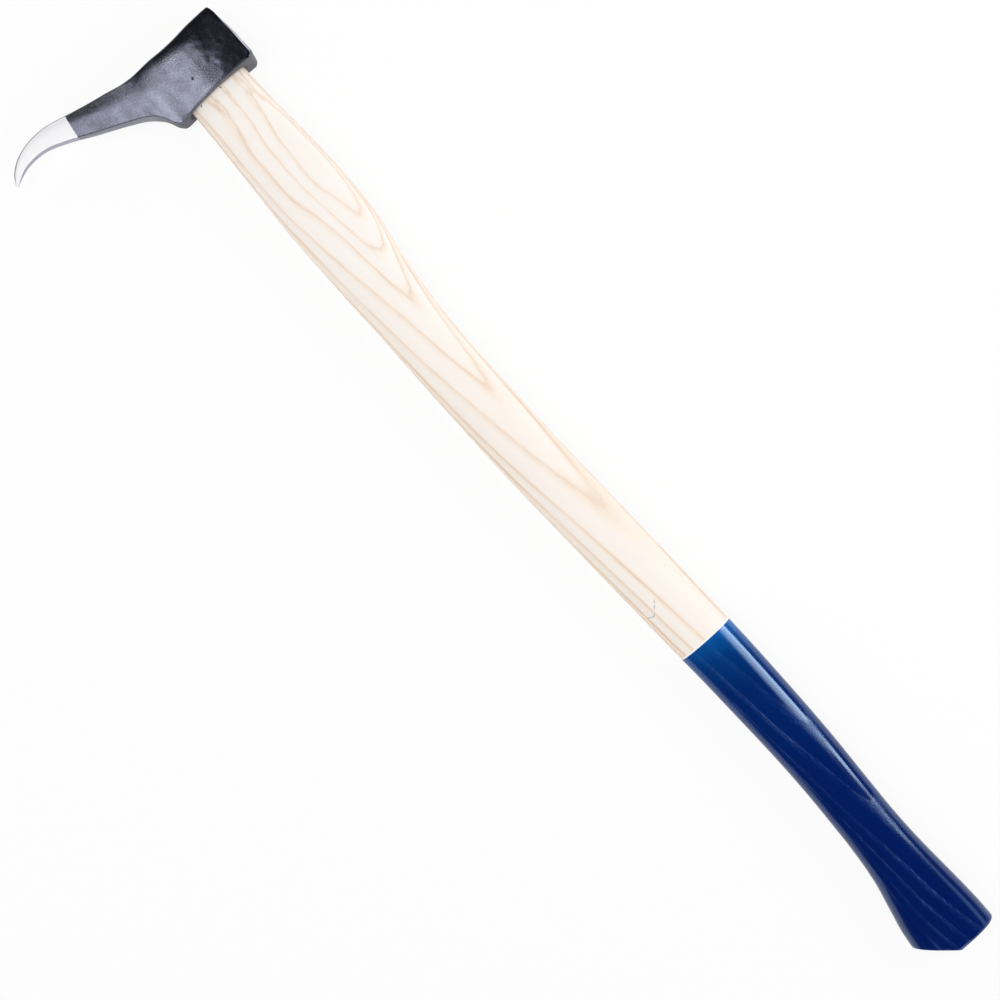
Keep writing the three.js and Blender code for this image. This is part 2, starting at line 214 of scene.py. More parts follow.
# Materials
class Nodes:
    """Builds the nodes of a material, or of the world."""

    def __init__(self, owner):
        owner.use_nodes = True
        self.nodes, self.links = owner.node_tree.nodes, owner.node_tree.links
        self.nodes.clear()

    def put(self, socket, value):
        """Links a socket to a node's output, or sets its own number, vector or colour."""
        if isinstance(value, bpy.types.NodeSocket):
            self.links.new(value, socket)
        elif value is not None:
            socket.default_value = (*value, 1) if socket.type == "RGBA" else value

    def node(self, kind, *values, **settings):
        """A node of a kind, with its settings and what its first sockets are given."""
        made = self.nodes.new("ShaderNode" + kind)
        for key, value in settings.items():
            setattr(made, key, value)
        for i, value in enumerate(values):
            self.put(made.inputs[i], value)
        return made

    def math(self, operation, a, b=None, c=None):
        return self.node("Math", a, b, c, operation=operation).outputs[0]

    def vector(self, operation, a, b=None, scale=None):
        made = self.node("VectorMath", a, b, operation=operation)
        if scale is not None:
            made.inputs["Scale"].default_value = scale
        return made.outputs["Value" if operation in ("LENGTH", "DOT_PRODUCT") else 0]

    def noise(self, vector, scale=1.0, detail=2.0, roughness=0.5):
        """A soft noise from 0 to 1, with about this many waves to the length of 1."""
        made = self.node("TexNoise")
        self.links.new(vector, made.inputs["Vector"])
        made.inputs["Scale"].default_value = scale
        made.inputs["Detail"].default_value = detail
        made.inputs["Roughness"].default_value = roughness
        return made.outputs[0]

    def shifted(self, base, value, amount, middle=0.5):
        """A number, and this amount of how far another one is from its middle."""
        return self.math("MULTIPLY_ADD", self.math("SUBTRACT", value, middle), amount, base)

    def span(self, value, low, high, to_low=0.0, to_high=1.0, smooth=False):
        """A number that changes while another one crosses a span, and is level outside it."""
        made = self.node("MapRange", value, low, high, to_low, to_high)
        made.interpolation_type = "SMOOTHSTEP" if smooth else "LINEAR"
        return made.outputs[0]

    def mix(self, factor, a, b):
        """A mixture of two colours."""
        made = self.node("Mix", data_type="RGBA")
        for i, value in ((0, factor), (6, a), (7, b)):
            self.put(made.inputs[i], value)
        return made.outputs[2]

    def blend(self, factor, a, b):
        """A mixture of two numbers."""
        made = self.node("Mix", data_type="FLOAT")
        for i, value in ((0, factor), (2, a), (3, b)):
            self.put(made.inputs[i], value)
        return made.outputs[0]

    def curve(self, value, stations):
        """A line through (place, value) stations."""
        (low, high), values = (stations[0][0], stations[-1][0]), [v for _, v in stations]
        bottom, top = min(values), max(values)
        made = self.node("FloatCurve", 1.0, self.span(value, low, high))
        points = made.mapping.curves[0].points
        while len(points) < len(stations):
            points.new(0.5, 0.5)
        for point, (x, y) in zip(points, stations):
            point.location = ((x - low) / (high - low), (y - bottom) / (top - bottom))
            point.handle_type = "VECTOR"
        made.mapping.update()
        return self.span(made.outputs[0], 0, 1, bottom, top)

    def ramp(self, value, stops):
        """Colours at places from 0 to 1."""
        made = self.node("ValToRGB", value)
        elements = made.color_ramp.elements
        while len(elements) < len(stops):
            elements.new(0.5)
        for element, (place, colour) in zip(elements, stops):
            element.position, element.color = place, (*colour, 1)
        return made.outputs[0]


class Shading(Nodes):
    """Builds the nodes of one solid material."""

    def __init__(self, name):
        self.material = bpy.data.materials.new(name)
        super().__init__(self.material)
        self.surface = self.node("BsdfPrincipled")
        self.node("OutputMaterial", self.surface.outputs[0])
        coordinates = self.node("TexCoord").outputs["Object"]
        from_origin = self.vector("SUBTRACT", coordinates, tuple(ORIGIN))
        self.place = self.vector("SCALE", from_origin, scale=1 / MM)
        self.x, self.y, self.z = self.node("SeparateXYZ", self.place).outputs

    def stretched(self, x, y, z):
        """The place for a noise with this many waves to the millimetre along each axis."""
        return self.vector("MULTIPLY", self.place, (x, y, z))

    def facing(self, axis):
        """How much the surface faces along an axis, from -1 to 1."""
        normal = self.node("NewGeometry").outputs["Normal"]
        return self.node("SeparateXYZ", normal).outputs[axis]

    def level(self):
        """How level the surface is: 1 where it faces straight up or down."""
        return self.math("ABSOLUTE", self.facing(2))

    def stroke(self, points, width):
        """How much a point of the upper side lies on a stroke through (x, y) points."""
        flat = self.node("CombineXYZ", self.x, self.y, 0.0).outputs[0]
        nearest = None
        for (x0, y0), (x1, y1) in zip(points, points[1:]):
            run = Vector((x1 - x0, y1 - y0, 0))
            away = self.vector("SUBTRACT", flat, (x0, y0, 0))
            share = self.vector("DOT_PRODUCT", away, tuple(run / run.length_squared))
            foot = self.vector("MULTIPLY", self.span(share, 0, 1), tuple(run))
            gap = self.vector("LENGTH", self.vector("SUBTRACT", away, foot))
            nearest = gap if nearest is None else self.math("MINIMUM", nearest, gap)
        above = self.span(self.z, 0, 1)
        return self.math("MULTIPLY", self.span(nearest, width / 2, width, 1, 0), above)

    def bump(self, height, distance_mm, strength):
        """The surface's normal, tilted by a relief."""
        made = self.node("Bump")
        made.inputs["Strength"].default_value = strength
        made.inputs["Distance"].default_value = distance_mm * MM
        self.links.new(height, made.inputs["Height"])
        return made.outputs[0]

    def finish(self, colour, roughness, normal, **constants):
        """The material, with what its surface is given."""
        given = {"Base Color": colour, "Roughness": roughness, "Normal": normal}
        given.update((key.replace("_", " "), value) for key, value in constants.items())
        for key, value in given.items():
            self.put(self.surface.inputs[key], value)
        return self.material


def srgb(red, green, blue):
    """A colour given in the 0 to 255 of a display, as the shader wants it."""
    return tuple(
        c / 255 / 12.92 if c <= 10 else ((c / 255 + 0.055) / 1.055) ** 2.4
        for c in (red, green, blue)
    )


# The growth layers of the ash are nearly flat sheets that slant across the handle and drift
# along it. Where the swelled sides cut through them they show as nested arches.
LAYER_SLANT = [(0, 0.128), (180, 0.168), (360, 0.23), (560, 0.288), (760, 0.35)]
LAYER_BOW = 0.0036
LAYER_DRIFT = [
    (-50, 9), (0, 8.3), (50, 7.2), (110, 4.65), (170, 2.74), (230, 0.96), (290, -0.81),
    (350, -3.4), (420, -6.2), (490, -8.6), (560, -12), (630, -15.7), (690, -20.2), (760, -24.5),
]
# Heights across the layers, and the year that each of them is in
LAYER_PLACES = [
    (-52, 23), (-9.25, 10), (-6, 9), (-2.8, 8), (2.2, 7), (6.4, 6), (11.3, 5), (14.35, 4),
    (16.6, 3), (18, 2), (19.4, 1), (33, -9),
]


def growth(s):
    """How far into the growth layers a point is: a whole number at the start of each year."""
    x, y, z = s.x, s.y, s.z
    slant = s.math("MULTIPLY", y, s.curve(x, LAYER_SLANT))
    bow = s.math("MULTIPLY", s.math("MULTIPLY", y, y), LAYER_BOW)
    height = s.math("ADD", z, s.math("ADD", slant, bow))
    height = s.math("ADD", height, s.curve(x, LAYER_DRIFT))
    wander = s.noise(s.stretched(0.02, 0.09, 0.09), 1, 2)
    ripple = s.noise(s.stretched(0.08, 0.5, 0.5), 1, 2)
    ruffle = s.span(x, 5, 45, 1.1, 0.3, smooth=True)
    height = s.math("ADD", height, s.span(y, 4, 14, 0, -0.42, smooth=True))
    low_side = s.math("MULTIPLY", s.span(y, -2, -22, smooth=True), s.span(x, 120, 260, 0.95, 0))
    height = s.math("ADD", height, low_side)
    height = s.shifted(s.shifted(height, wander, 0.5), ripple, ruffle)
    return s.curve(height, LAYER_PLACES)


# The share of a year that its line fades over, how much sooner it ends on its late side, and how
# much broader it is on the steep sides
LINE_SHARE, LATE_FALL, STEEP_BREADTH = 0.3, 1.6, 3.0
# How strongly the lines show along the handle, and how much that varies
LINE_STRENGTH = [(0, 1.35), (50, 1), (370, 1), (440, 1.25), (760, 1.25)]
YEARLY_STRENGTH, STRENGTH_DRIFT, STEEP_STRENGTH = (0.7, 1.0), (-0.25, 0.25), (0.8, 0.5)
PORE_SHARE = 0.22  # the share of a year that has open pores
# The level of the dip leaned a little, about the middle of the handle.
DIP_TILT, DIP_MIDDLE = 0.02, 5
# Marks on the wood, as the points of their strokes: specks of the black lacquer, and a scuff
LACQUER_SPECKS = [[(0.5, 2.0), (1.7, 2.6)], [(1.2, -15.2), (2.3, -15.8)]]
SPECK_WIDTH, SCUFF_WIDTH = 0.5, 0.45
SCUFF = [(447, -2), (450.5, -4.5), (453.5, -7), (456, -9), (456, -11), (455, -13)]

# The ash from its palest to the line at the start of each year
ASH_PALE = srgb(253, 248, 244)
ASH_IVORY = srgb(252, 243, 234)
ASH_CREAM = srgb(251, 240, 228)
ASH_PEACH = srgb(247, 230, 213)
ASH_TAN = srgb(240, 214, 187)
ASH_BROWN = srgb(222, 186, 152)
YEAR_TONES = [
    (0, ASH_BROWN), (0.07, ASH_BROWN), (0.2, ASH_TAN), (0.37, ASH_PEACH), (0.65, ASH_CREAM),
    (1, ASH_PALE),
]
# The soaked wood's darkness is partly painted shade where the wood meets the head.
SOAKED_AND_SHADED_WOOD = srgb(206, 172, 132)
# The pale line at the dip's edge is a painted highlight.
DIP_EDGE_HIGHLIGHT = srgb(255, 254, 251)
SCUFF_BLUE = srgb(112, 138, 158)
SPECK_BLACK = srgb(52, 48, 50)
PORE_RELIEF, FIBRE_RELIEF, WOOD_RELIEF = -0.6, 0.5, 0.06
WOOD_ROUGH = (0.5, 0.62)


def ash_material():
    s = Shading("ash_wood")
    years = growth(s)
    into = s.math("FRACT", years)
    year = s.math("FLOOR", years)
    x, y = s.x, s.y
    # Each year starts with a brown line, which is broader where it comes out on the steep sides.
    level = s.level()
    late_side = s.math("MULTIPLY", s.math("SUBTRACT", 1.0, into), LATE_FALL)
    from_line = s.math("MINIMUM", into, late_side)
    from_line = s.math("DIVIDE", from_line, s.span(level, 0.95, 0.6, 1.0, STEEP_BREADTH))
    tone = s.ramp(s.span(from_line, 0, LINE_SHARE), YEAR_TONES)
    # Some years show more than others, and each comes and goes along the handle.
    per_year = s.node("TexWhiteNoise", None, year, noise_dimensions="1D").outputs[0]
    along = s.noise(s.stretched(0.02, 0.12, 0.12), 1, 3)
    yearly = s.span(per_year, 0, 1, *YEARLY_STRENGTH)
    strength = s.math("ADD", yearly, s.span(along, 0.3, 0.7, *STRENGTH_DRIFT))
    strength = s.math("MULTIPLY", strength, s.span(level, 0.6, 0.95, *STEEP_STRENGTH))
    strength = s.math("MULTIPLY", strength, s.curve(x, LINE_STRENGTH))
    ground = s.math("ADD", s.span(along, 0.35, 0.65, 0, 0.4), s.span(x, 160, 300, 0, 0.75))
    ground = s.mix(ground, ASH_PALE, ASH_IVORY)
    colour = s.mix(strength, ground, tone)
    fibre = s.noise(s.stretched(0.035, 1.6, 1.6), 1, 3, 0.6)
    colour = s.mix(s.span(fibre, 0.35, 0.75, 0.0, 0.4), colour, ASH_CREAM)
    pores = s.noise(s.stretched(0.3, 4.5, 4.5), 1, 2, 0.6)
    early = s.span(into, 0.0, PORE_SHARE, 1.0, 0.0)
    pore = s.math("MULTIPLY", s.span(pores, 0.58, 0.66), early)
    colour = s.mix(s.math("MULTIPLY", pore, 0.55), colour, ASH_BROWN)
    # End grain and the wood in the eye soak up more, so they are darker. Where the wood comes out
    # below the head, the darkening is painted shade.
    soaked_and_shaded = s.span(x, -1.0, 1.5, 0.55, 0.0, smooth=True)
    colour = s.mix(soaked_and_shaded, colour, SOAKED_AND_SHADED_WOOD)
    # A fine pale line is painted where the dip stopped, as a painted highlight along the coat's
    # edge, and a scuff of its blue lies a little way off.
    depth = s.shifted(s.math("SUBTRACT", x, DIP_X), y, DIP_TILT, DIP_MIDDLE)
    line = s.math("MULTIPLY", s.span(depth, -1.0, -0.7), s.span(depth, 1.5, 2.0, 1, 0))
    colour = s.mix(line, colour, DIP_EDGE_HIGHLIGHT)
    broken = s.span(s.noise(s.place, 1.1, 2), 0.42, 0.55)
    scuff = s.math("MULTIPLY", s.stroke(SCUFF, SCUFF_WIDTH), broken)
    colour = s.mix(s.math("MULTIPLY", scuff, 0.75), colour, SCUFF_BLUE)
    for points in LACQUER_SPECKS:
        speck = s.math("MULTIPLY", s.stroke(points, SPECK_WIDTH), 0.8)
        colour = s.mix(speck, colour, SPECK_BLACK)
    relief = s.math("MULTIPLY_ADD", pore, PORE_RELIEF, s.math("MULTIPLY", fibre, FIBRE_RELIEF))
    normal = s.bump(relief, WOOD_RELIEF, 0.6)
    rough = s.span(fibre, 0.3, 0.7, *WOOD_ROUGH)
    return s.finish(colour, rough, normal, Specular_IOR_Level=0.2)


# The dip is thin and pale at its edge and deepens along the grip.
DIP_TONES = [
    (0, srgb(14, 96, 176)), (0.03, srgb(5, 76, 148)), (0.09, srgb(1, 54, 122)),
    (0.2, srgb(0, 38, 106)), (0.5, srgb(0, 30, 99)), (1, srgb(0, 26, 94)),
]
DIP_RUN = (-4, 216)  # where its tones start and end, from its edge
DIP_SLANT, DIP_BLOTCHES = -0.35, 14  # how much the tones slant across the grip, and wander
DIP_FLECK = srgb(34, 88, 170)
FLECK_RELIEF, DIP_ROUGH = 0.16, (0.12, 0.3)


def blue_material():
    s = Shading("blue_dip_lacquer")
    x, y = s.x, s.y
    into = s.math("FRACT", growth(s))
    blotch = s.noise(s.stretched(0.03, 0.1, 0.1), 1, 3)
    from_dip = s.shifted(s.math("SUBTRACT", x, DIP_X), y, DIP_SLANT, DIP_MIDDLE)
    from_dip = s.shifted(from_dip, blotch, DIP_BLOTCHES)
    colour = s.ramp(s.span(from_dip, *DIP_RUN), DIP_TONES)
    # The open pores at the start of each year show through as faint broken flecks.
    fleck = s.noise(s.stretched(0.22, 1.7, 1.7), 1, 3, 0.6)
    band = s.math("MAXIMUM", s.span(into, 0.0, 0.38, 1, 0), s.span(into, 0.94, 1.0, 0, 1))
    patch = s.span(s.noise(s.stretched(0.02, 0.1, 0.1), 1, 2), 0.35, 0.62)
    zone = s.math("MULTIPLY", band, s.math("MULTIPLY_ADD", patch, 0.75, 0.25))
    flecks = s.math("MULTIPLY", s.span(fleck, 0.5, 0.66), zone)
    colour = s.mix(s.math("MULTIPLY", flecks, 0.7), colour, DIP_FLECK)
    grain = s.noise(s.stretched(0.5, 2.6, 2.6), 1, 3, 0.7)
    relief = s.math("MULTIPLY", grain, s.math("MULTIPLY_ADD", zone, 0.95, 0.05))
    normal = s.bump(relief, FLECK_RELIEF, 0.6)
    rough = s.span(zone, 0, 1, *DIP_ROUGH)
    return s.finish(colour, rough, normal, IOR=1.8, Specular_Tint=(0.55, 0.78, 1.0))


# Where the black lacquer was ground off the point, in a line that slants a little
GROUND_PLACE = (-54.1, -89.0)
GROUND_SLANT, GROUND_RAGGED, GROUND_BLUR = 0.148, 0.7, 0.12
# Marks on the head, as the points of their strokes: the crease along its foot, and a small pit
FOOT_CREASE = [(-1.0, 27), (-1.0, 0), (0.3, -18), (1.2, -31)]
PIT = [(-14.2, -8), (-13.8, -8.2)]
CREASE_WIDTH, PIT_WIDTH = 0.5, 1.0
# The lacquer from its smoothest to its most worn, with painted glints, a painted sheen and a
# painted rim highlight, and the steel under it with painted shade
LACQUER_DARK, LACQUER_PALE = (0.0025, 0.0027, 0.0042), (0.0055, 0.006, 0.009)
SPECKLE_AND_GLINT, BELLY_SHEEN, RIM_WEAR_AND_HIGHLIGHT = (0.078, 0.078, 0.09), (0.2, 0.2, 0.22), (0.42, 0.42, 0.45)
GROUND_STEEL = (0.93, 0.93, 0.945), (0.99, 0.99, 0.995)
GROUND_EDGE_SHADE, GROUND_OUTLINE_SHADE = (0.5, 0.5, 0.55), (0.1, 0.1, 0.11)
# The relief of each, and how rough it is
PEEL_RELIEF, FORGED_RELIEF, HEAD_RELIEF = (0.06, 0.22), 0.28, 0.22
PIT_RELIEF, CREASE_RELIEF, GRINDING_RELIEF = -0.6, -1.2, 0.12
LACQUER_ROUGH, GROUND_ROUGH = (0.11, 0.24), (0.66, 0.8)
NECK_ROUGH, BLOTCH_ROUGH, STEEP_ROUGH, EDGE_ROUGH, PEEL_ROUGH = 0.1, 0.3, 0.25, 0.7, 0.08


def steel_material():
    s = Shading("black_lacquered_forging")
    x, y = s.x, s.y
    past = s.math("SUBTRACT", GROUND_PLACE[1], y)
    past = s.math("MULTIPLY_ADD", s.math("SUBTRACT", GROUND_PLACE[0], x), GROUND_SLANT, past)
    ragged = s.noise(s.stretched(0.8, 0.8, 0.8), 1, 3)
    bare = s.span(s.shifted(past, ragged, GROUND_RAGGED), -GROUND_BLUR, GROUND_BLUR)

    # The lacquer is smooth towards the poll and the back, and speckled over the rest, where the
    # cheek catches the light. Its pale grains are partly painted glints.
    forged = s.noise(s.place, 0.13, 1.5, 0.5)
    border = s.shifted(s.shifted(y, forged, 14), x, -0.25, -20)
    speckled = s.math(
        "MULTIPLY",
        s.span(border, 9, -7, smooth=True),
        s.math("MAXIMUM", s.span(x, -41, -35, smooth=True), s.span(y, -32, -46, smooth=True)),
    )
    peel = s.noise(s.place, 1.05, 2, 0.6)
    black = s.mix(s.span(forged, 0.35, 0.7), LACQUER_DARK, LACQUER_PALE)
    speckle_and_glints = s.span(s.noise(s.place, 0.95, 1), 0.42, 0.66)
    black = s.mix(s.math("MULTIPLY", speckle_and_glints, speckled), black, SPECKLE_AND_GLINT)
    # The steep belly of the neck is painted lighter as a painted sheen. The rim of the poll is
    # paler as a painted highlight, which also stands for worn lacquer.
    level = s.level()
    belly = s.math("MULTIPLY", s.span(level, 0.6, 0.3), s.span(y, -36, -46))
    black = s.mix(belly, black, BELLY_SHEEN)
    rim_wear_and_highlight = s.math("MULTIPLY", s.span(y, 31.6, 32.6), s.span(level, 0.93, 0.8))
    rim_wear_and_highlight = s.math("MULTIPLY", rim_wear_and_highlight, s.span(level, 0.1, 0.35))
    rim_wear_and_highlight = s.math("MULTIPLY", rim_wear_and_highlight, s.span(x, -1, -12, 0.2, 1))
    black = s.mix(rim_wear_and_highlight, black, RIM_WEAR_AND_HIGHLIGHT)
    lines = s.noise(s.stretched(1.2, 5.0, 1.2), 1, 3, 0.6)
    steel = s.mix(s.span(lines, 0.3, 0.7), *GROUND_STEEL)
    # The steep sides of the ground point are painted darker, and its back edge has a dark outline:
    # both are painted shade.
    back = s.math("LESS_THAN", s.facing(0), -0.1)
    outline = s.math("MULTIPLY", s.span(level, 0.93, 0.75), s.span(level, 0.3, 0.45))
    outline = s.math("MULTIPLY", back, outline)
    steel = s.mix(s.span(level, 0.8, 0.5), steel, GROUND_EDGE_SHADE)
    steel = s.mix(outline, steel, GROUND_OUTLINE_SHADE)
    colour = s.mix(bare, black, steel)

    skin = s.math("MULTIPLY", peel, s.span(speckled, 0, 1, *PEEL_RELIEF))
    skin = s.math("MULTIPLY_ADD", forged, FORGED_RELIEF, skin)
    pit = s.stroke(PIT, PIT_WIDTH)
    skin = s.math("MULTIPLY_ADD", pit, PIT_RELIEF, skin)
    skin = s.math("MULTIPLY_ADD", s.stroke(FOOT_CREASE, CREASE_WIDTH), CREASE_RELIEF, skin)
    relief = s.blend(bare, skin, s.math("MULTIPLY", lines, GRINDING_RELIEF))
    normal = s.bump(relief, HEAD_RELIEF, 1.0)
    rough = s.span(speckled, 0, 1, *LACQUER_ROUGH)
    rough = s.math("ADD", rough, s.span(y, -35, -60, 0, NECK_ROUGH, smooth=True))
    blotch = s.math("MULTIPLY", s.math("SUBTRACT", s.noise(s.place, 0.11, 1), 0.5), speckled)
    rough = s.math("MULTIPLY_ADD", blotch, BLOTCH_ROUGH, rough)
    rough = s.math("ADD", rough, s.span(level, 0.5, 0.2, 0, STEEP_ROUGH))
    edge = s.math("MULTIPLY", s.span(level, 0.97, 0.88), s.span(level, 0.5, 0.65))
    edge = s.math("MULTIPLY", edge, s.span(y, -28, -36))
    rough = s.math("MULTIPLY_ADD", s.math("MAXIMUM", edge, pit), EDGE_ROUGH, rough)
    rough = s.shifted(rough, peel, PEEL_ROUGH)
    rough = s.blend(bare, rough, s.span(lines, 0.3, 0.7, *GROUND_ROUGH))
    s.put(s.surface.inputs["Metallic"], bare)
    return s.finish(
        colour, rough, normal, IOR=1.7, Specular_IOR_Level=0.9, Specular_Tint=(0.72, 0.76, 1.0)
    )


BEECH_PALE, BEECH_BROWN, BEECH_RAY = srgb(196, 148, 102), srgb(170, 120, 78), srgb(132, 86, 54)
RING_BRIGHT, RING_DULL = (0.55, 0.55, 0.56), (0.32, 0.3, 0.28)


def beech_material():
    s = Shading("beech_wood")
    fibre = s.noise(s.stretched(0.08, 2.0, 2.0), 1, 3, 0.6)
    flecks = s.noise(s.stretched(1.4, 1.4, 6.0), 1, 2)
    colour = s.mix(s.span(fibre, 0.3, 0.7), BEECH_PALE, BEECH_BROWN)
    colour = s.mix(s.span(flecks, 0.58, 0.7, 0, 0.5), colour, BEECH_RAY)
    normal = s.bump(s.math("ADD", fibre, flecks), 0.12, 0.6)
    return s.finish(colour, 0.7, normal)


def ring_material():
    s = Shading("bare_ring_steel")
    turned = s.noise(s.stretched(5.0, 0.3, 0.3), 1, 2)
    spots = s.noise(s.place, 0.7, 3, 0.6)
    colour = s.mix(s.span(spots, 0.4, 0.7), RING_BRIGHT, RING_DULL)
    normal = s.bump(s.math("ADD", turned, spots), 0.08, 0.5)
    rough = s.span(spots, 0.3, 0.7, 0.28, 0.5)
    return s.finish(colour, rough, normal, Metallic=1.0)


# The head
PICK_SHARES = [
    ((0, 0.037), (-0.034, 0), (0.66, 0.73, 0.64)),
    ((0.03, 0.053), (-0.003, 0.07), (0.61, 0.69, 0.62)),
    ((0.1, 0.119), (0.037, 0.275), (0.52, 0.59, 0.6)),
    ((0.2, 0.303), (0.11, 0.45), (0.4, 0.49, 0.49)),
    ((0.33, 0.493), (0.2196, 0.599), (0.33, 0.43, 0.39)),
    ((0.476, 0.727), (0.4196, 0.829), (0.28, 0.38, 0.33)),
    ((0.62, 0.965), (0.58, 1.02), (0.24, 0.34, 0.295)),
    ((0.762, 0.96), (0.73, 1.145), (0.2, 0.29, 0.25)),
    ((0.884, 0.71), (0.865, 1.135), (0.15, 0.22, 0.2)),
    ((0.96, 0.333), (0.9485, 1.055), (0.07, 0.13, 0.12)),
    ((1, -0.1), (0.994, 0.99), (0.03, 0.04, 0.04)),
]
RIDGE_SHARE, BLOCK_RIDGE_SHARE, NECK_RIDGE_SHARE = 0.32, 0.18, 0.22
EASING_SHARE = 0.42
CHEEK_DRAW_SHARE = 0.836
BACK_ROLL = 0.7  # how far the cheek rolls off towards its back edge
ROLL_FADE, ROLL_LEAST = 18, 0.15  # the roll fades from the eye's axis to here, and what is left
BELLY_BULGE = 1.3  # how far the belly of the neck stands out between its two edges
BULGE_FROM, BULGE_GROWTH = -34, 14  # where the bulge starts, and how soon it is full
BULGE_TO, BULGE_FADE, BULGE_LEAST = -112, 30, 0.2  # the same towards the tip, and what is left
HEAD_STEPS = 12
CORNER_STEPS = 5
SIDE_STEPS = (16, 14, 9, 16, 9, 14)  # along the belly, two cheek sides, the back and two more
# How far the back of the block stands out beyond the height of the eye, from the neck to the poll
BACK_FLARE = [
    (-30, 0.75), (-23.5, 0.85), (-10, 0.28), (-3, 0.4), (6, 1), (14, 1.65), (23, 2.05), (34, 2),
]
# How far the end of the poll falls back, from its back corner to its foot
POLL_FALL = [
    (-44, 0.9), (-41.4, 1.3), (-38.4, 1.65), (-35.4, 1.85), (-32.4, 1.75), (-29.4, 1.4),
    (-26.4, 1), (-23.4, 0.7), (-17.4, 0.35), (-7, 0.1), (0, 0),
]
FALL_FROM, FALL_GROWTH = 14, 14  # where the fall starts across the block, and how soon it is full
flare_at, fall_at = map(level_curve, (BACK_FLARE, POLL_FALL))


def block_station(y, share, ridge_share=BLOCK_RIDGE_SHARE):
    """The edges, widths, eased corners and ridge of a section through the block of the eye."""
    under = BEARD_DROP * max(y / BEARD_Y, 0)
    width = share * HEAD_THICKNESS
    roll = BACK_ROLL * kept((ROLL_FADE - y) / ROLL_FADE, ROLL_LEAST)
    widths = (width - 2 * roll, width, width)
    easings = (FACE_EDGE_EASING, RIDGE_EASING, 1.0)
    back = Vector((-EYE_HEIGHT - flare_at(y), y))
    return [back, Vector((under, y)), widths, easings, ridge_share]


def pick_station(back, belly, widths):
    """The same of a section through the pick."""
    back_y, belly_y = (BEARD_Y - edge[0] * PICK_LENGTH for edge in (back, belly))
    return [
        Vector((-EYE_HEIGHT - back[1] * PICK_RISE, back_y)),
        Vector((BEARD_DROP - belly[1] * EYE_HEIGHT, belly_y)),
        tuple(share * HEAD_THICKNESS for share in widths),
        (BACK_EASING, RIDGE_EASING, BELLY_EASING),
        RIDGE_SHARE,
    ]


def head_section(back, belly, widths, easings, ridge_share):
    """A closed six-cornered section between the back and belly edges."""
    depth = (belly - back).length
    across = (belly - back).normalized()
    places = (0, ridge_share * depth, depth)
    half = [Vector((places[k], widths[k] / 2)) for k in (2, 1, 0)]
    outline = half + [Vector((c.x, -c.y)) for c in reversed(half)]
    eases = [easings[k] for k in (2, 1, 0, 0, 1, 2)]
    bends = []
    for i, corner in enumerate(outline):
        start, end = (
            corner.lerp(other, min(eases[i] / (corner - other).length, EASING_SHARE))
            for other in (outline[i - 1], outline[(i + 1) % 6])
        )
        steps = [k / CORNER_STEPS for k in range(CORNER_STEPS + 1)]
        bends.append(
            [start * (1 - t) ** 2 + corner * 2 * t * (1 - t) + end * t * t for t in steps]
        )
    points = []
    for i, bend in enumerate(bends):
        start, end = bends[i - 1][-1], bend[0]
        count = SIDE_STEPS[i]
        points += [start.lerp(end, k / count) for k in range(1, count)] + bend
    bulge = BELLY_BULGE * kept((BULGE_FROM - belly.y) / BULGE_GROWTH)
    bulge *= kept((belly.y - BULGE_TO) / BULGE_FADE, BULGE_LEAST)
    for p in points:
        if p.x > depth - BELLY_EASING - 0.01:
            p.x += bulge * max(1 - (2 * p.y / widths[2]) ** 2, 0)
    return [Vector((back.x + across.x * p.x, back.y + across.y * p.x, p.y)) for p in points]


POLL_PLACES = (0, 0.04, 0.12, 0.25, 0.45, 0.7, 1.0, 1.4, 1.8, 2.2, 2.6, 2.9, 3.05, 3.4, 3.7)
POLL_RIM, POLL_ROUND, CHEEK_FOOT, CHEEK_CORNER = 1.95, 0.7, -0.9, 3.2
# How far the cheek has fallen off at distances out from the inner edge of its rim
RIM_FALL = [
    (-2.4, -0.6), (0, 0), (0.4, 0.16), (0.8, 0.4), (1.2, 0.72), (1.5, 1.05), (1.8, 1.6), (2.4, 3.2),
    (4, 8),
]


def cheek_limit():
    """A solid whose rounded sides ease the cheeks along the poll and round their foot corner."""
    corner = Vector((CHEEK_FOOT - CHEEK_CORNER, POLL_Y - POLL_RIM - CHEEK_CORNER))
    first, sweep, steps = 20, 70, 10  # the degrees that the corner turns through
    turns = [math.radians(first + sweep * i / steps) for i in range(steps + 1)]

    def outline(out, z):
        arc = [corner + (CHEEK_CORNER + out) * Vector((math.cos(a), math.sin(a))) for a in turns]
        # The other sides run clear of the head.
        clear = [
            (-90 - out, arc[-1].y - 1.2), (-90 - out, -160), (24 + out, -160), (12 + out, -10),
        ]
        return [Vector((*p, z)) for p in (*arc, *clear)]

    upper = [(out, HEAD_THICKNESS / 2 - fall) for out, fall in RIM_FALL]
    rings = upper + [(out, -z) for out, z in reversed(upper)]
    return as_object(loft([outline(*ring) for ring in rings]), "limit")


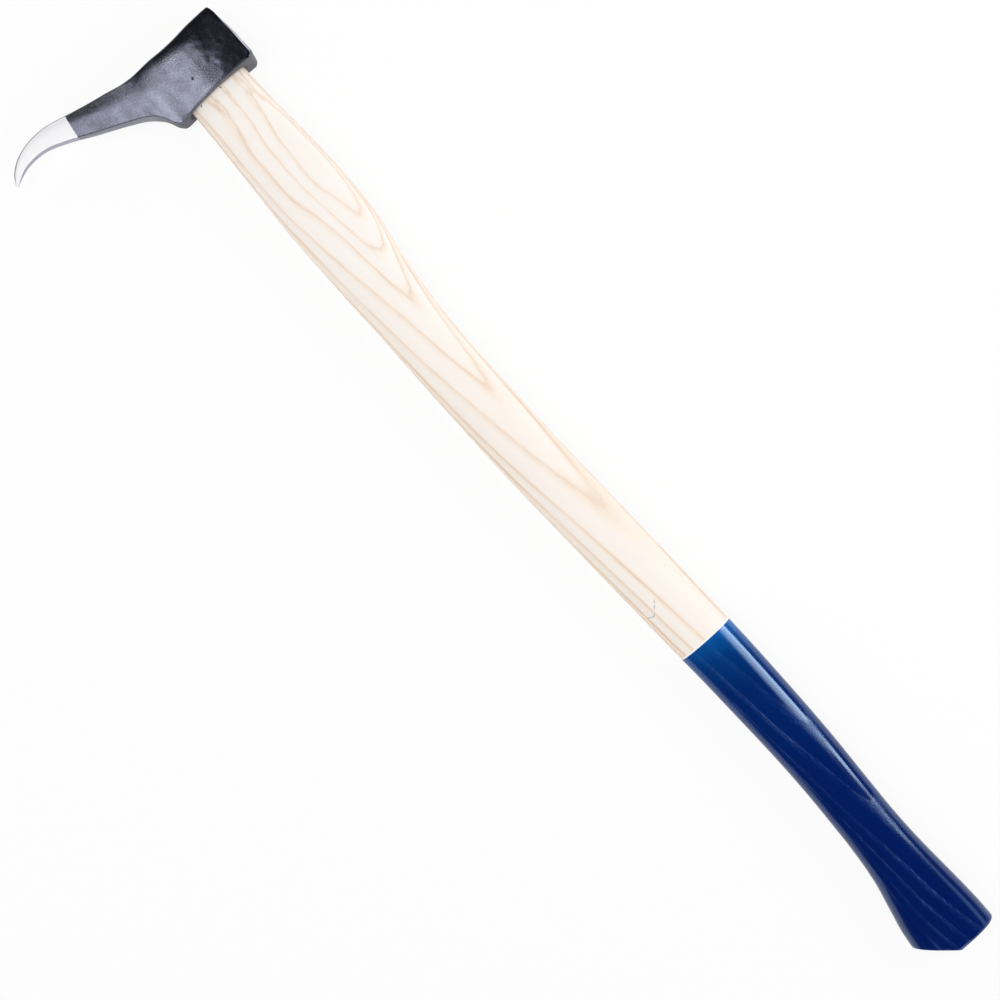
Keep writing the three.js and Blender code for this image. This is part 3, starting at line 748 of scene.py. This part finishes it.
def head_rings():
    """The sections of the head, from the rounded end of the poll to the tip of the pick."""
    rings = []
    for from_end in POLL_PLACES:
        back, belly, widths, easings, share = block_station(POLL_Y - from_end, 1)
        back.x += drawn_in(POLL_HEEL_RADIUS, from_end, POLL_CROWN)
        belly.x -= drawn_in(POLL_HEEL_RADIUS, from_end)
        widths = [w - 2 * drawn_in(POLL_ROUND, from_end, POLL_EDGE_RADIUS) for w in widths]
        rings.append(head_section(back, belly, widths, easings, share))
    stations = [
        block_station(POLL_Y - POLL_HEEL_RADIUS, 1),
        block_station(POLL_Y - 2 * POLL_HEEL_RADIUS, 1),
        block_station(EYE_DEPTH / 2 - POLL_WALL, 1),
        block_station(0, 0.988),
        block_station(-CHEEK_FLAT, 0.97),
        block_station(-12, 0.925),
        block_station(-EYE_DEPTH / 2, CHEEK_DRAW_SHARE, NECK_RIDGE_SHARE),
        *(pick_station(*shares) for shares in PICK_SHARES),
    ]
    edges = [[s[edge] for s in stations] for edge in (0, 1)]
    back_knots, belly_knots = map(knots, edges)
    ridge_knots = [(a + b) / 2 for a, b in zip(back_knots, belly_knots)]
    corner_knots = (back_knots, ridge_knots, belly_knots)
    curves = [
        [
            level_curve([(at, s[kind][k]) for at, s in zip(corner_knots[k], stations)])
            for k in range(3)
        ]
        for kind in (2, 3)
    ]
    ridge_at = level_curve([(at, s[4]) for at, s in zip(ridge_knots, stations)])
    for i in range((len(stations) - 1) * HEAD_STEPS + 1):
        place = i / HEAD_STEPS
        back, belly = (centripetal(edge, place) for edge in edges)
        corners = [between(at, place) for at in corner_knots]
        widths, easings = ([curve(at) for curve, at in zip(group, corners)] for group in curves)
        rings.append(head_section(back, belly, widths, easings, ridge_at(corners[1])))
    return rings


EYE_SQUARENESS = 3.1
EYE_EGG = 0.08
SECTION_SIDES = 96


def section_across_x(x, y, depth, width, squareness, egg):
    """One rounded section across X, fuller at its poll end."""
    points = []
    for i in range(SECTION_SIDES):
        angle = 2 * math.pi * i / SECTION_SIDES
        along, across = (
            math.copysign(abs(v) ** (2 / squareness), v) for v in (math.cos(angle), math.sin(angle))
        )
        points.append(Vector((x, y + depth / 2 * along, width / 2 * across * (1 + egg * along))))
    return points


def eye_section(x, gap):
    """The eye at a height, drawn in by a gap."""
    flare = -x / EYE_HEIGHT
    depth = EYE_DEPTH + flare * EYE_FLARE_DEPTH - 2 * gap
    width = EYE_WIDTH + flare * EYE_FLARE_WIDTH - 2 * gap
    return section_across_x(x, 0, depth, width, EYE_SQUARENESS, EYE_EGG)


# The forging is a little uneven, and less so towards its ground tip.
UNEVENNESS = [(0.07, 0.08), (0.22, 0.03)]  # how fine it is, and how high
SMOOTH_END, SMOOTH_FADE, SMOOTH_LEAST = -130, 40, 0.2
LACQUER_FILM = 0.05
EYE_EASING = 0.9  # the eased mouths of the eye


def make_head():
    made = loft(head_rings())
    for vert in made.verts:
        vert.co.y -= fall_at(vert.co.x) * eased(kept((vert.co.y - FALL_FROM) / FALL_GROWTH))
        uneven = sum(noise.noise(vert.co * fine) * high for fine, high in UNEVENNESS)
        uneven *= kept((vert.co.y - SMOOTH_END) / SMOOTH_FADE, SMOOTH_LEAST)
        vert.co += vert.normal * (uneven + LACQUER_FILM)
    head = cut(as_object(made, "head_forging"), cheek_limit(), operation="INTERSECT")
    # The hole runs right through, and its mouths flare from just inside it to clear of the head.
    reach, inside, clear = 8, 0.02, 4
    flared = -(clear + EYE_EASING)
    hole = loft([eye_section(x, 0) for x in (TENON_TOP - reach, -20, reach)])
    top = loft(
        [eye_section(-EYE_HEIGHT - clear, flared), eye_section(-EYE_HEIGHT + EYE_EASING, inside)]
    )
    foot = loft([eye_section(-EYE_EASING, inside), eye_section(clear, flared)])
    cutters = [as_object(form, "cutter") for form in (hole, top, foot)]
    return cut(head, *cutters)


# The handle, at shares of its length below the head
DEPTHS = [
    (0, EYE_DEPTH - 2 * FIT_GAP), (0.066, 50.5), (0.0925, 52.7), (0.12, 54.7), (0.14, 55.1),
    (0.165, 54.4), (0.198, 50.9), (0.225, 47.4), (0.251, 44.8), (0.278, 43.4), (0.31, SHAFT_DEPTH),
    (0.5, SHAFT_DEPTH), (0.6, 42.4), (0.648, 41.95), (0.674, 41.4), (0.7, 40.9), (0.727, 40.25),
    (0.78, 38.9), (0.835, 37.9), (0.862, 37.9), (0.8857, 38.95), (0.912, 41.95), (0.9385, 47.6),
    (0.965, 52.95), (0.985, 54.8), (1, 54.8),
]
WIDTHS = [
    (0, EYE_WIDTH - 2 * FIT_GAP), (0.136, SWELL_WIDTH), (0.31, SHAFT_WIDTH), (0.64, SHAFT_WIDTH),
    (0.84, WAIST_WIDTH), (0.97, KNOB_WIDTH), (1, KNOB_WIDTH),
]
SWEEPS = [
    (0, 0), (0.1, 0.06), (0.155, 0.035), (0.172, 0.003), (0.198, -0.123), (0.2247, -0.268),
    (0.29, -0.385), (0.41, -0.22), (0.51, 0.146), (0.617, 0.565), (0.69, 0.833), (0.785, 1),
    (0.866, 0.85), (0.912, 0.722), (0.9385, 0.57), (0.965, 0.43), (0.985, 0.395), (1, 0.395),
]
# How square the sections are, where 2 is an oval
SQUARES = [(0, EYE_SQUARENESS), (0.15, 2.7), (0.65, 2.4), (1, 2.6)]
depth_at, width_at, sweep_at, square_at = map(level_curve, (DEPTHS, WIDTHS, SWEEPS, SQUARES))
HEEL_SHARE = 0.071
HANDLE_STEP = 3.0


def handle_section(x, inset, end_inset):
    """The handle at a place, drawn in by an inset, and its butt's end by one of its own."""
    place = x / BUTT_X
    drawn = inset + drawn_in(BUTT_EDGE_RADIUS, max(BUTT_END - end_inset - x, 0))
    return section_across_x(
        x,
        SWEEP * sweep_at(place),
        depth_at(place) - 2 * drawn,
        width_at(place) - 2 * drawn,
        square_at(place),
        EYE_EGG * (1 - place),
    )


def handle_places(start, end):
    """Places of the sections from start to the butt's rounded end."""
    round_start = end - BUTT_EDGE_RADIUS
    count = math.ceil((round_start - start) / HANDLE_STEP)
    places = [start + (round_start - start) * i / count for i in range(count + 1)]
    steps = 8
    turns = [i / steps * math.pi / 2 for i in range(1, steps + 1)]
    return places + [round_start + BUTT_EDGE_RADIUS * math.sin(turn) for turn in turns]


def cut_heel(made, inset, rounding):
    """Cuts the slanted foot of the handle and eases the edge of the cut."""
    turn = -math.radians(FOOT_CUT_ANGLE)
    facing = Vector((math.cos(turn), math.sin(turn), 0))
    heel_y = SWEEP * sweep_at(1) - KNOB_DEPTH * HEEL_SHARE
    at = Vector((BUTT_X - inset / math.cos(turn), heel_y, 0))
    everything = made.verts[:] + made.edges[:] + made.faces[:]
    done = bmesh.ops.bisect_plane(
        made, geom=everything, dist=0.001, plane_co=at, plane_no=facing, clear_outer=True
    )
    rim = [e for e in done["geom_cut"] if isinstance(e, bmesh.types.BMEdge)]
    bmesh.ops.contextual_create(made, geom=rim)
    bmesh.ops.remove_doubles(made, verts=made.verts, dist=0.02)
    bmesh.ops.recalc_face_normals(made, faces=made.faces)
    if rounding:
        rim = [
            e
            for e in made.edges
            if all(abs((v.co - at).dot(facing)) < 0.01 for v in e.verts) and e.is_manifold
        ]
        bmesh.ops.bevel(
            made, geom=rim, offset=rounding, segments=4, profile=0.5, affect="EDGES",
            clamp_overlap=True,
        )
    return made


def wedge_form(length, gap, name):
    """The wedge's own shape or, with a gap, the kerf that it spreads."""
    top, tip = WEDGE_TOP_THICKNESS / 2 + gap, WEDGE_TIP_THICKNESS / 2 + gap
    slope = (top - tip) / WEDGE_LENGTH
    rings = []
    for x in (-OVERRUN, 0, length / 2, length):
        half = top - slope * x
        ring = [(-half, -EYE_DEPTH), (half, -EYE_DEPTH), (half, EYE_DEPTH), (-half, EYE_DEPTH)]
        rings.append([Vector((TENON_TOP + x, y, z)) for z, y in ring])
    return as_object(loft(rings), name)


def ring_form(gap, overrun, name, bevel=0.0):
    """The ring wedge's own shape or, with a gap, the groove that it cuts."""
    outer, inner = RING_DIAMETER / 2, RING_DIAMETER / 2 - RING_WALL
    profile = [
        (inner - gap, overrun - bevel),
        (inner - gap, -RING_LENGTH - gap),
        (outer - RING_TAPER / 2 - RING_WALL / 2 + gap, -RING_LENGTH - gap),
        (outer - RING_TAPER / 2 + gap, RING_EDGE - RING_LENGTH),
        (outer + gap, overrun - bevel),
        (outer + gap - bevel, overrun),
        (inner - gap + bevel, overrun),
    ]
    sides = 96
    rings = []
    for i in range(sides):
        turn = 2 * math.pi * i / sides
        rings.append(
            [Vector((TENON_TOP - h, r * math.cos(turn), r * math.sin(turn))) for r, h in profile]
        )
    made = loft([*rings, rings[0]], capped=False)
    bmesh.ops.remove_doubles(made, verts=made.verts, dist=0.001)
    bmesh.ops.recalc_face_normals(made, faces=made.faces)
    return as_object(made, name)


def make_handle():
    # Under the film the wood draws in, from a shoulder that the film hides.
    core_inset, shoulder, shoulder_run = 0.7, 5.0, 1.5

    def inset_at(x):
        return core_inset * kept((x - DIP_X - shoulder) / shoulder_run)

    edge = 1.3  # the rounded edge of the tenon's top
    rings = [eye_section(TENON_TOP, FIT_GAP + edge)]
    for i in range(1, 5):
        turn = i / 4 * math.pi / 2
        x = TENON_TOP + edge * (1 - math.cos(turn))
        rings.append(eye_section(x, FIT_GAP + edge * (1 - math.sin(turn))))
    count = 14
    first = TENON_TOP + edge
    rings += [eye_section(first * (1 - i / count), FIT_GAP) for i in range(1, count)]
    places = handle_places(0, BUTT_END - core_inset)
    rings += [handle_section(x, inset_at(x), core_inset) for x in places]
    handle = as_object(cut_heel(loft(rings), core_inset, 0), "ash_handle")
    kerf, groove = wedge_form(KERF_DEPTH, FIT_GAP, "kerf"), ring_form(FIT_GAP, OVERRUN, "groove")
    return cut(handle, kerf, groove)


def make_wood_wedge():
    form = wedge_form(WEDGE_LENGTH, 0, "beech_wedge")
    tenon = loft([eye_section(TENON_TOP + x, 2 * FIT_GAP) for x in (0, 20, 40)])
    cut(form, as_object(tenon, "cutter"), operation="INTERSECT")
    return cut(form, ring_form(FIT_GAP, OVERRUN, "groove"))


def make_grip():
    """The dipped coat, which stands a little proud of the wood."""
    film, proud, cut_easing, tilt_run = 0.35, 0.12, 1.4, 30
    rings = [handle_section(x, -proud, 0) for x in handle_places(DIP_X + FIT_GAP, BUTT_END)]
    made = loft(rings, capped=False)
    last = [v for v in made.verts if v.co.x > BUTT_END - 0.001]
    rim = [e for e in made.edges if e.is_boundary and all(v in last for v in e.verts)]
    bmesh.ops.contextual_create(made, geom=rim)
    cut_heel(made, 0, cut_easing)
    for vert in made.verts:
        near = max(1 - (vert.co.x - DIP_X) / tilt_run, 0)
        vert.co.x -= near * near * DIP_TILT * (vert.co.y - DIP_MIDDLE)
    grip = as_object(made, "grip_dip_coat")
    step = grip.modifiers.new("film", "SOLIDIFY")
    step.thickness, step.offset, step.use_even_offset = film * MM, -1, True
    return settle(grip)


# The camera looks straight down, and its picture is turned so that the handle lies at a slant.
PICTURE_RIGHT = Vector((0.65355, 0.75689, 0))
PICTURE_UP = Vector((-0.75689, 0.65355, 0))
CAMERA_PLACE = Vector((330.7, -36.5, 1217.7))
LENS, SENSOR = 65.34, 36


def drawn(place):
    """A place of the drawing frame, in metres in the CAD frame."""
    return ORIGIN + place * MM


def make_camera():
    data = bpy.data.cameras.new("camera")
    data.lens, data.sensor_width = LENS, SENSOR
    camera = bpy.data.objects.new("camera", data)
    bpy.context.scene.collection.objects.link(camera)
    turned = Matrix((PICTURE_RIGHT, PICTURE_UP, Vector((0, 0, 1)))).transposed()
    camera.matrix_world = Matrix.Translation(drawn(CAMERA_PLACE)) @ turned.to_4x4()
    bpy.context.scene.camera = camera


def softbox(name, place, target, width, height, radiance, colour):
    """A lamp like a lit sheet, given by the brightness of its face."""
    data = bpy.data.lights.new(name, "AREA")
    data.shape, data.size, data.size_y = "RECTANGLE", width, height
    data.energy = radiance * math.pi * width * height
    data.color = colour
    lamp = bpy.data.objects.new(name, data)
    bpy.context.scene.collection.objects.link(lamp)
    lamp.location = place
    lamp.rotation_euler = (place - target).to_track_quat("Z", "Y").to_euler()
    lamp.visible_camera = False


HEAD_PLACE = Vector((-0.38, 0.05, 0))
HANDLE_PLACE = Vector((0, 0.05, 0))
GRIP_PLACE = Vector((0.2, 0.07, 0))
WHITE, WARM, PALE_WARM = (1, 1, 1), (1, 0.985, 0.96), (1, 0.99, 0.98)
EDGE_WARM, GRIP_COLOUR, SKY = (1, 0.98, 0.95), (1, 0.98, 0.98), (0.6, 0.85, 1)
# Each lamp's name and place, what it faces, its width and height, its brightness and colour
LAMPS = [
    ("key", (-0.63, -0.54, 2.37), HEAD_PLACE, 1.3, 0.86, 4.95, WARM),
    ("key_far", (-0.63, -1.32, 2.03), HEAD_PLACE, 1.3, 0.86, 3.1, WARM),
    ("poll_corner", (-0.17, 1.03, 0.6), HEAD_PLACE, 0.74, 0.32, 2.0, WHITE),
    ("back", (-2.35, -0.25, 1.8), HEAD_PLACE, 0.9, 1.2, 0.15, WHITE),
    ("fill", (7.5, -2.3, 6.8), HANDLE_PLACE, 6.8, 6.8, 1.68, PALE_WARM),
    ("poll_strip", (-0.64, 0.88, 0.28), HEAD_PLACE, 0.3, 0.36, 4.5, EDGE_WARM),
    ("grip_strip", (0.365, 0.86, 0.65), GRIP_PLACE, 0.36, 0.26, 7.4, GRIP_COLOUR),
    ("grip_soft", (0.33, 0.72, 0.82), GRIP_PLACE, 0.28, 0.16, 4.6, GRIP_COLOUR),
    ("grip_edge", (0.33, 0.61, 0.9), GRIP_PLACE, 0.3, 0.13, 2.0, GRIP_COLOUR),
    ("grip_far", (0.77, 0.86, 0.65), GRIP_PLACE, 0.34, 0.24, 0.9, SKY),
]
# The brightness of the room from level to straight up, along its sides and at its ends
SIDE_WALLS = [(0, 1.0), (0.1, 0.35), (0.25, 0.06), (0.6, 0.025), (1, 0.02)]
END_WALLS = [(0, 1.0), (0.45, 1.0), (0.62, 0.15), (0.8, 0.05), (1, 0.03)]


def make_world():
    """A dim room whose two end walls and far floor are pale."""
    world = bpy.data.worlds.new("studio")
    bpy.context.scene.world = world
    s = Nodes(world)
    sideways, _, upward = s.node("SeparateXYZ", s.node("TexCoord").outputs["Generated"]).outputs
    at_ends = s.span(s.math("ABSOLUTE", sideways), 0.3, 0.55, smooth=True)
    walls = (
        s.ramp(upward, [(place, (level * 0.98, level * 0.99, level)) for place, level in stops])
        for stops in (SIDE_WALLS, END_WALLS)
    )
    light = s.node("Background", s.mix(at_ends, *walls))
    s.node("OutputWorld", light.outputs[0])


FLOOR_HALF = 4.0
FLOOR_PAPER = (0.96, 0.96, 0.96)
# The floor's share of even white is high to the eye and lower in reflections, which show the shade.
EVEN_WHITE = [("Is Camera Ray", 0.9), ("Is Glossy Ray", 0.3), ("Is Transmission Ray", 0.3)]


def make_floor():
    mesh = bpy.data.meshes.new("floor")
    corners = [(x * FLOOR_HALF, y * FLOOR_HALF, 0) for x, y in ((-1, -1), (1, -1), (1, 1), (-1, 1))]
    mesh.from_pydata(corners, [], [(0, 1, 2, 3)])
    floor = bpy.data.objects.new("floor", mesh)
    bpy.context.scene.collection.objects.link(floor)
    material = bpy.data.materials.new("white_floor")
    s = Nodes(material)
    rays = s.node("LightPath").outputs
    to_eye, *bounced = (s.math("MULTIPLY", rays[kind], part) for kind, part in EVEN_WHITE)
    share = s.math("MAXIMUM", to_eye, s.math("MAXIMUM", *bounced))
    paper = s.node("BsdfDiffuse", FLOOR_PAPER).outputs[0]
    glow = s.node("Emission", WHITE).outputs[0]
    s.node("OutputMaterial", s.node("MixShader", share, paper, glow).outputs[0])
    mesh.materials.append(material)


dress(make_head(), steel_material(), "head", 30)
dress(make_handle(), ash_material(), "handle")
dress(make_wood_wedge(), beech_material(), "wood_wedge")
dress(ring_form(0, 0, "steel_ring_wedge", 0.3), ring_material(), "ring_wedge")
dress(make_grip(), blue_material(), "grip_lacquer")

make_camera()
make_world()
make_floor()
for name, place, *light in LAMPS:
    softbox(name, Vector(place), *light)

bpy.context.scene.view_settings.view_transform = "Standard"
